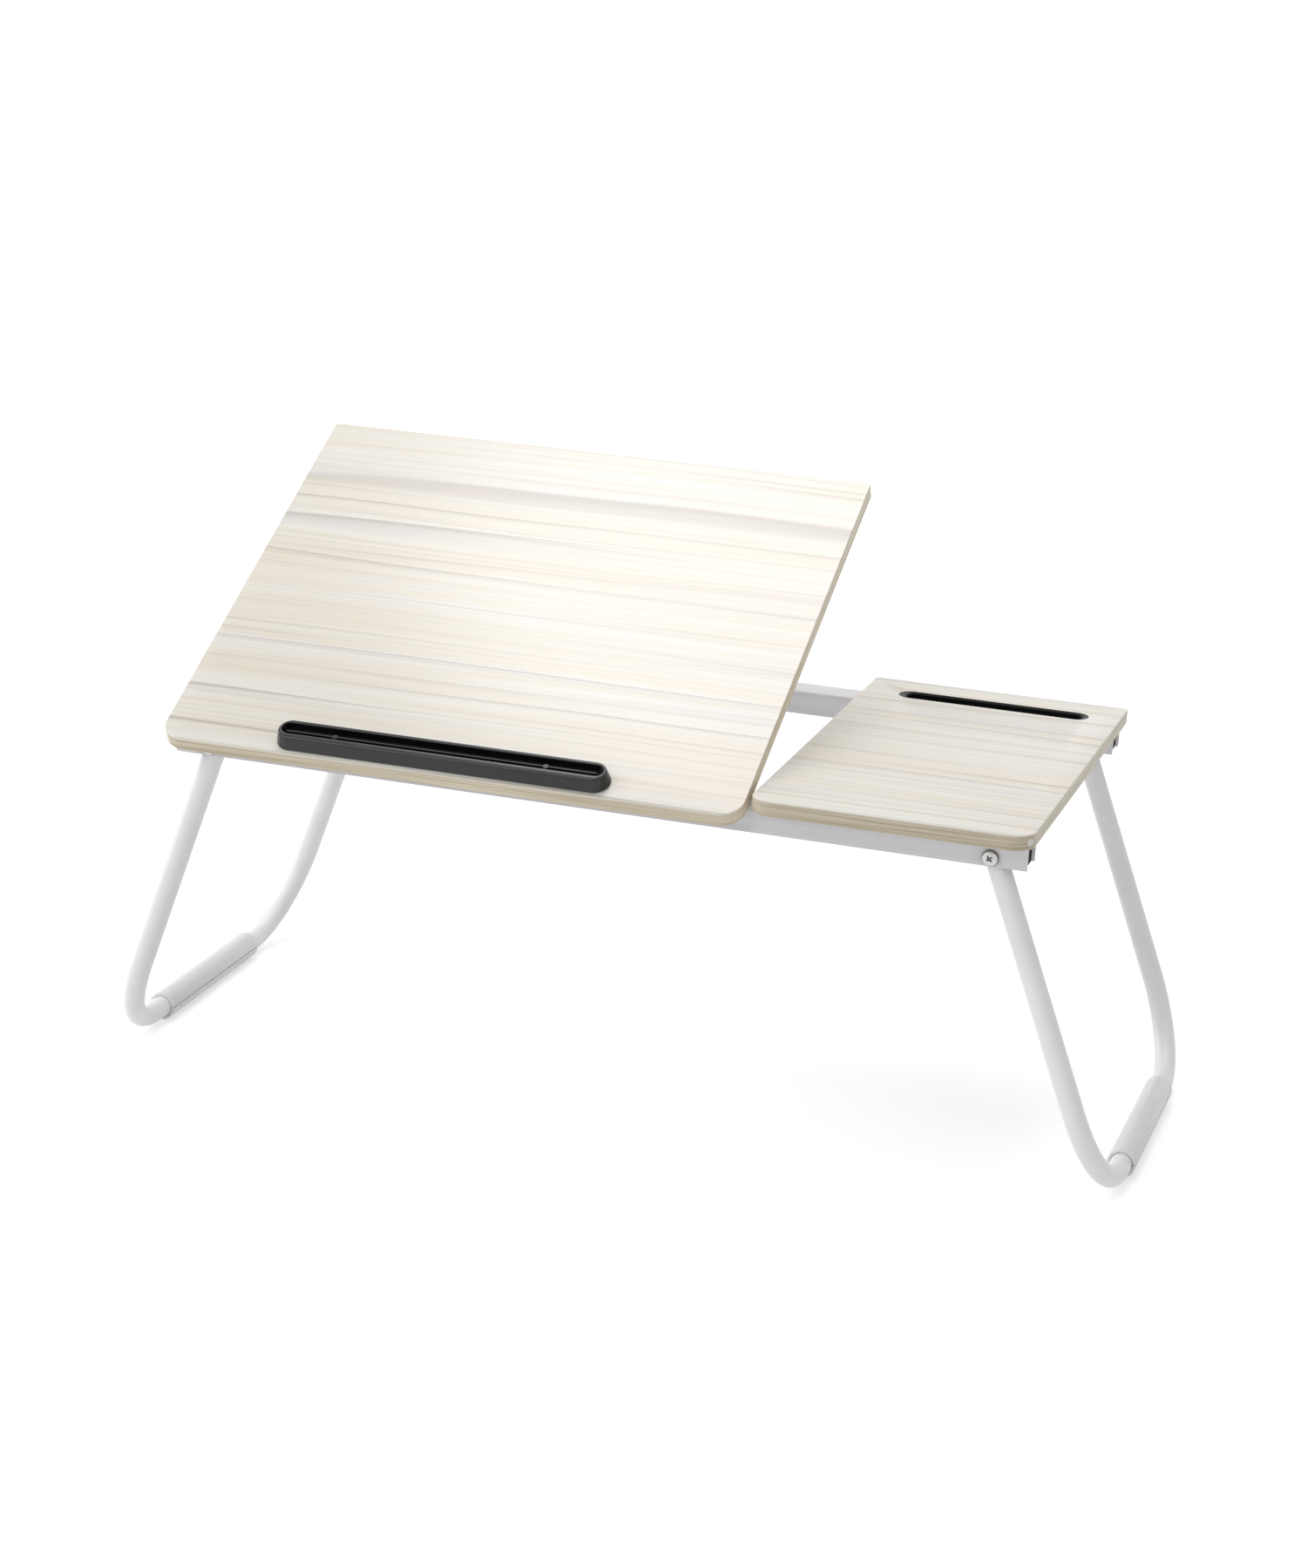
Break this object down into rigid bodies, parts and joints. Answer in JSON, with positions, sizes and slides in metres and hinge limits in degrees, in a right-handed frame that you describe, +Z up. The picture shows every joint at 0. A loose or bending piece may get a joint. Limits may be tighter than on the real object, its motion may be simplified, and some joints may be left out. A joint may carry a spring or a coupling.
{
  "type": "folding low table",
  "caption": "Low table with a tilting reading board, a level side board with a tablet slot, and tube legs that fold under.",
  "frame": {"origin": "on the floor, below the middle of the whole table as it stands with the reading board raised", "axes": "+X along the table, from the reading board to the side board; +Y from the user's side to the back; +Z up"},
  "size_m": [0.6286, 0.3056, 0.358],
  "materials": {
    "white_paint": "smooth white powder coat, soft shine",
    "wood_print": "pale wood-grain laminate on board, satin",
    "black_plastic": "moulded, satin",
    "clear_rubber": "soft, milky",
    "nylon": "plain",
    "plated_steel": "bright zinc plate"
  },
  "bodies": {
    "frame": {"front_rail": "white_paint", "rear_rail": "white_paint", "left_cross_member": "white_paint", "centre_cross_member": "white_paint", "right_cross_member": "white_paint", "left_rack": "white_paint", "right_rack": "white_paint", "front_left_end_plug": "black_plastic", "front_right_end_plug": "black_plastic", "rear_left_end_plug": "black_plastic", "rear_right_end_plug": "black_plastic", "side_board": "wood_print", "slot_liner": "black_plastic", "side_board_screw_1": "plated_steel", "side_board_screw_2": "plated_steel", "side_board_screw_3": "plated_steel", "side_board_screw_4": "plated_steel", "hinge_pin_1": "plated_steel", "hinge_pin_2": "plated_steel", "hinge_pin_3": "plated_steel", "front_left_pivot_screw": "plated_steel", "front_right_pivot_screw": "plated_steel", "rear_left_pivot_screw": "plated_steel", "rear_right_pivot_screw": "plated_steel", "front_left_pivot_nut": "plated_steel", "front_right_pivot_nut": "plated_steel", "rear_left_pivot_nut": "plated_steel", "rear_right_pivot_nut": "plated_steel"},
    "left_leg": {"left_leg_tube": "white_paint", "left_leg_foot_sleeve": "clear_rubber", "left_leg_front_bush": "nylon", "left_leg_rear_bush": "nylon"},
    "right_leg": {"right_leg_tube": "white_paint", "right_leg_foot_sleeve": "clear_rubber", "right_leg_front_bush": "nylon", "right_leg_rear_bush": "nylon"},
    "reading_panel": {"reading_board": "wood_print", "hinge_bracket_1": "white_paint", "hinge_bracket_2": "white_paint", "hinge_bracket_3": "white_paint", "hinge_screw_1_1": "plated_steel", "hinge_screw_1_2": "plated_steel", "hinge_screw_2_1": "plated_steel", "hinge_screw_2_2": "plated_steel", "hinge_screw_3_1": "plated_steel", "hinge_screw_3_2": "plated_steel", "book_stop": "black_plastic", "stop_screw_1": "plated_steel", "stop_screw_2": "plated_steel", "prop_clip_1": "plated_steel", "prop_clip_2": "plated_steel", "clip_screw_1_1": "plated_steel", "clip_screw_1_2": "plated_steel", "clip_screw_2_1": "plated_steel", "clip_screw_2_2": "plated_steel"},
    "prop": {"prop_wire": "white_paint"}
  },
  "joints": [
    {"name": "left_leg_fold", "type": "hinge", "parent": "frame", "child": "left_leg", "pos_m": [-0.24144, 0.00817, 0.2068], "axis": [0, -1, 0], "range_deg": [0, 103]},
    {"name": "right_leg_fold", "type": "hinge", "parent": "frame", "child": "right_leg", "pos_m": [0.22856, 0.00817, 0.2068], "axis": [0, 1, 0], "range_deg": [0, 106]},
    {"name": "panel_tilt", "type": "hinge", "parent": "frame", "child": "reading_panel", "pos_m": [-0.08894, -0.12988, 0.2135], "axis": [1, 0, 0], "range_deg": [-28.4, 0]},
    {"name": "prop_fold", "type": "hinge", "parent": "reading_panel", "child": "prop", "pos_m": [-0.08894, -0.02608, 0.26962], "axis": [1, 0, 0], "range_deg": [0, 56.8]}
  ],
  "couplings": [
    {"joint": "prop_fold", "follows": "panel_tilt", "ratio": -2}
  ]
}
